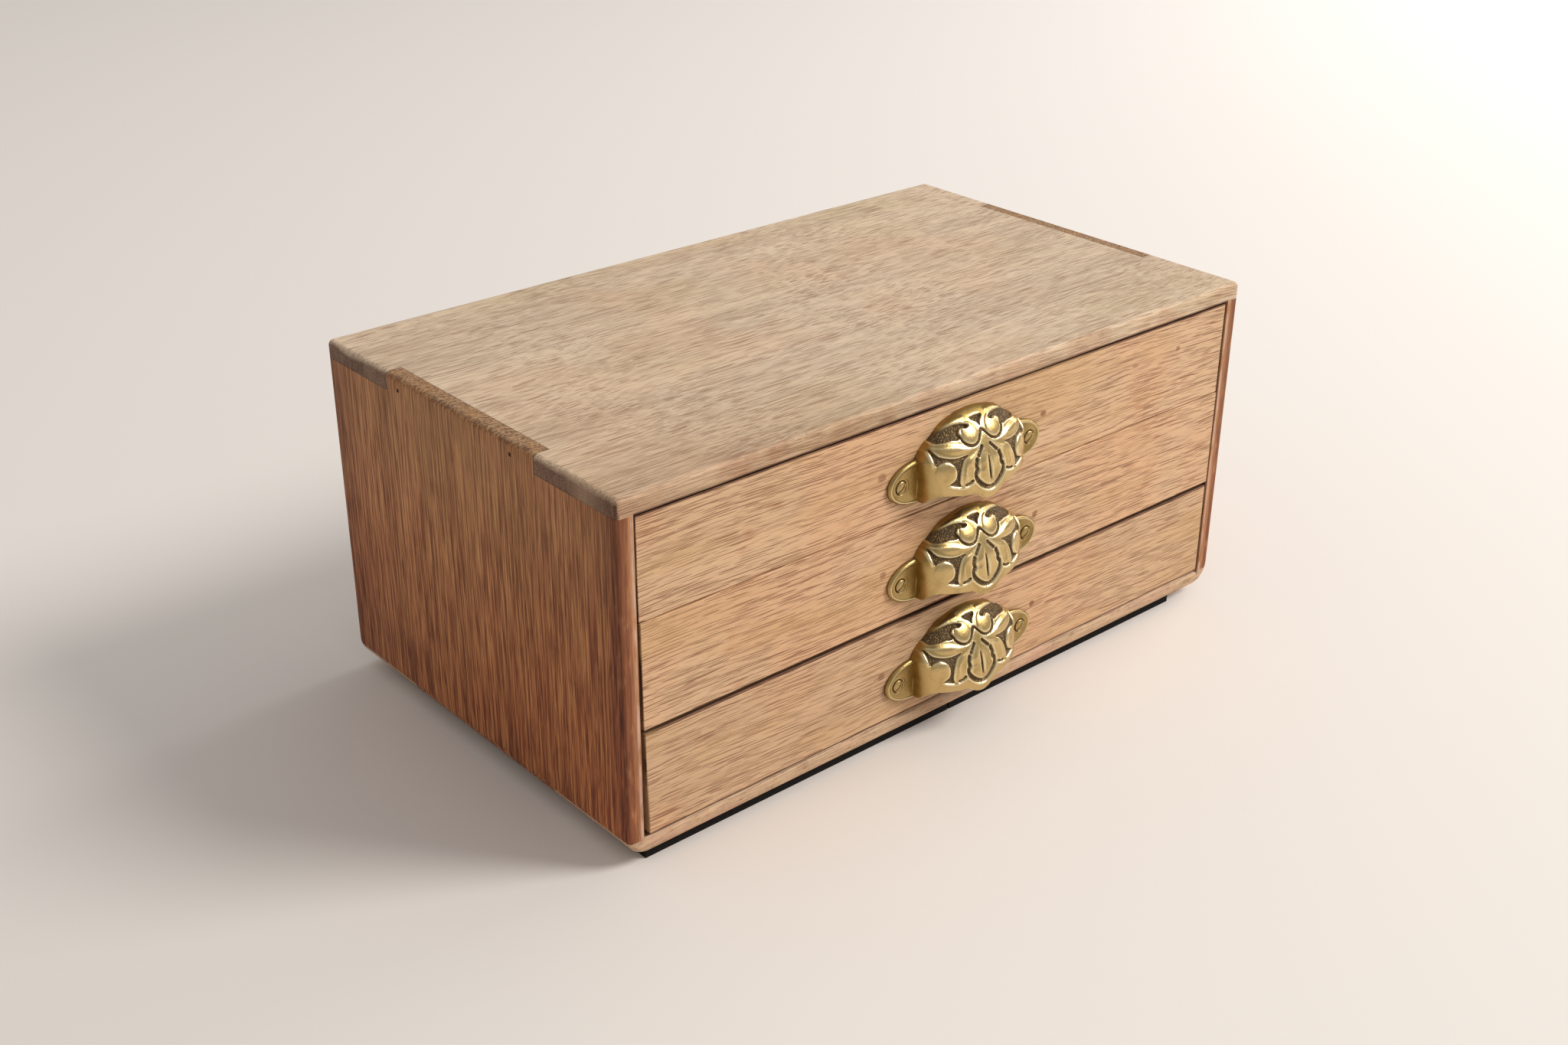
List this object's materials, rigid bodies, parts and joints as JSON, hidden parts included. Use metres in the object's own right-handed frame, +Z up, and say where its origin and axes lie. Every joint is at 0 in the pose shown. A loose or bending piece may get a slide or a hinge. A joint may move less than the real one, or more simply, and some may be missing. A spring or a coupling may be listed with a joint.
{
  "type": "watercolour paint drawer box",
  "caption": "Low wooden chest of drawers for watercolour paints: a finger-jointed case, drawers on side runners and cast cup pulls with foliage in relief.",
  "frame": {"origin": "on the table, under the middle of the whole box with its pulls: the case's own middle lies 8.4 mm behind it", "axes": "+X to the right along the drawer fronts, -Y out of the drawer fronts towards the user, +Z up"},
  "size_m": [0.36, 0.2248, 0.162],
  "materials": {
    "case_wood": "open-pored hardwood, old oiled finish, worn pale along its edges",
    "front_wood": "open-pored hardwood, dry waxed finish, with flecks and stains",
    "drawer_wood": "planed, bare",
    "panel_wood": "thin board, bare",
    "runner_wood": "hardwood, waxed and rubbed smooth",
    "pull_brass": "cast, polished on its high parts and dark in its recesses",
    "screw_brass": "worn, slotted heads",
    "steel": "dark, slightly rusted",
    "felt": "pressed black felt"
  },
  "bodies": {
    "case": {"top_board": "case_wood", "bottom_board": "case_wood", "left_side": "case_wood", "right_side": "case_wood", "back_panel": "panel_wood", "corner_brads": "steel", "back_brads": "steel", "runner_brads": "steel", "foot_front_left": "felt", "foot_front_right": "felt", "foot_back_left": "felt", "foot_back_right": "felt", "runner_top_left": "runner_wood", "runner_top_right": "runner_wood", "runner_middle_left": "runner_wood", "runner_middle_right": "runner_wood", "runner_bottom_left": "runner_wood", "runner_bottom_right": "runner_wood"},
    "drawer_top": {"drawer_top_front": "front_wood", "drawer_top_left_side": "drawer_wood", "drawer_top_right_side": "drawer_wood", "drawer_top_back": "drawer_wood", "drawer_top_bottom": "panel_wood", "drawer_top_brads": "steel", "cup_pull_top": "pull_brass", "pull_screws_top": "screw_brass"},
    "drawer_middle": {"drawer_middle_front": "front_wood", "drawer_middle_left_side": "drawer_wood", "drawer_middle_right_side": "drawer_wood", "drawer_middle_back": "drawer_wood", "drawer_middle_bottom": "panel_wood", "drawer_middle_brads": "steel", "cup_pull_middle": "pull_brass", "pull_screws_middle": "screw_brass"},
    "drawer_bottom": {"drawer_bottom_front": "front_wood", "drawer_bottom_left_side": "drawer_wood", "drawer_bottom_right_side": "drawer_wood", "drawer_bottom_back": "drawer_wood", "drawer_bottom_bottom": "panel_wood", "drawer_bottom_brads": "steel", "cup_pull_bottom": "pull_brass", "pull_screws_bottom": "screw_brass"}
  },
  "joints": [
    {"name": "drawer_top_slide", "type": "slide", "parent": "case", "child": "drawer_top", "axis": [0, -1, 0], "range_m": [0, 0.16]},
    {"name": "drawer_middle_slide", "type": "slide", "parent": "case", "child": "drawer_middle", "axis": [0, -1, 0], "range_m": [0, 0.16]},
    {"name": "drawer_bottom_slide", "type": "slide", "parent": "case", "child": "drawer_bottom", "axis": [0, -1, 0], "range_m": [0, 0.16]}
  ]
}
